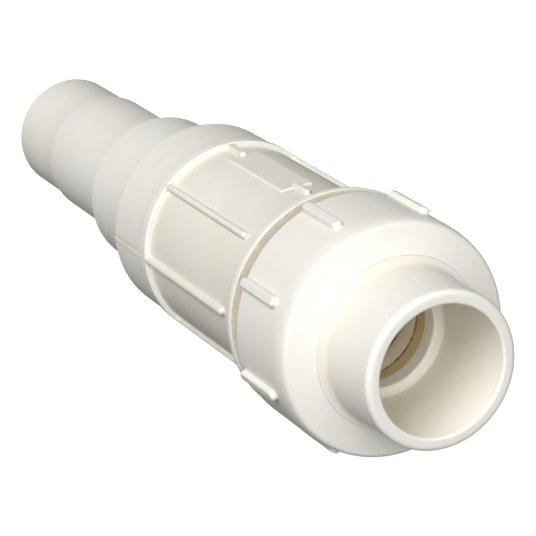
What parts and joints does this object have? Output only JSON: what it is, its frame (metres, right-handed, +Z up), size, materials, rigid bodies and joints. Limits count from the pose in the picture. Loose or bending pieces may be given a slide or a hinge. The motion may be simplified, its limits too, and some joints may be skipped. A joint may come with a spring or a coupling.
{
  "type": "in-line check valve",
  "caption": "In-line spring check valve: ribbed white plastic body, union nut on the inlet socket, stepped outlet spigot, spring-closed poppet inside.",
  "frame": {"origin": "on the flow axis, at the middle of the overall length (bounding-box centre)", "axes": "+X along the flow, from the inlet socket to the outlet spigot; +Z up; +Y to the left when looking downstream"},
  "size_m": [0.23, 0.063, 0.063],
  "materials": {
    "white_pvc": "satin moulded rigid PVC, warm white",
    "cream_pvc": "fine-textured moulded rigid PVC, cream",
    "ochre_rubber": "ochre moulded elastomer",
    "black_rubber": "black moulded elastomer",
    "acetal": "smooth acetal",
    "stainless": "drawn and turned stainless steel"
  },
  "bodies": {
    "body": {"body_shell": "white_pvc", "outlet_adapter": "white_pvc", "outlet_tailpiece": "white_pvc", "seat_carrier": "cream_pvc", "carrier_o_ring": "black_rubber", "union_gasket": "ochre_rubber", "return_spring": "stainless", "stem_guide": "cream_pvc", "guide_bush": "acetal", "guide_snap_ring": "stainless"},
    "connector": {"end_connector": "white_pvc", "slip_ring": "acetal"},
    "nut": {"union_nut": "white_pvc"},
    "poppet": {"poppet_disc": "cream_pvc", "poppet_seal": "black_rubber", "seal_clamp": "cream_pvc", "poppet_stem": "stainless", "nose_nut": "stainless", "spring_washer": "stainless", "stop_washer": "stainless", "stem_nut": "stainless", "lock_nut": "stainless"}
  },
  "joints": [
    {"name": "union_release", "type": "slide", "parent": "body", "child": "connector", "axis": [-1, 0, 0], "range_m": [0, 0.01601]},
    {"name": "nut_turn", "type": "hinge", "parent": "connector", "child": "nut", "pos_m": [-0.075, 0, 0], "axis": [-1, 0, 0], "range_deg": [0, 1440]},
    {"name": "poppet_lift", "type": "slide", "parent": "body", "child": "poppet", "axis": [1, 0, 0], "range_m": [0, 0.009], "stiffness_N_per_m": 300, "springref_m": -0.0055, "deforming": ["return_spring"]}
  ],
  "couplings": [
    {"joint": "union_release", "follows": "nut_turn", "m_per_rad": 0.00063662}
  ]
}
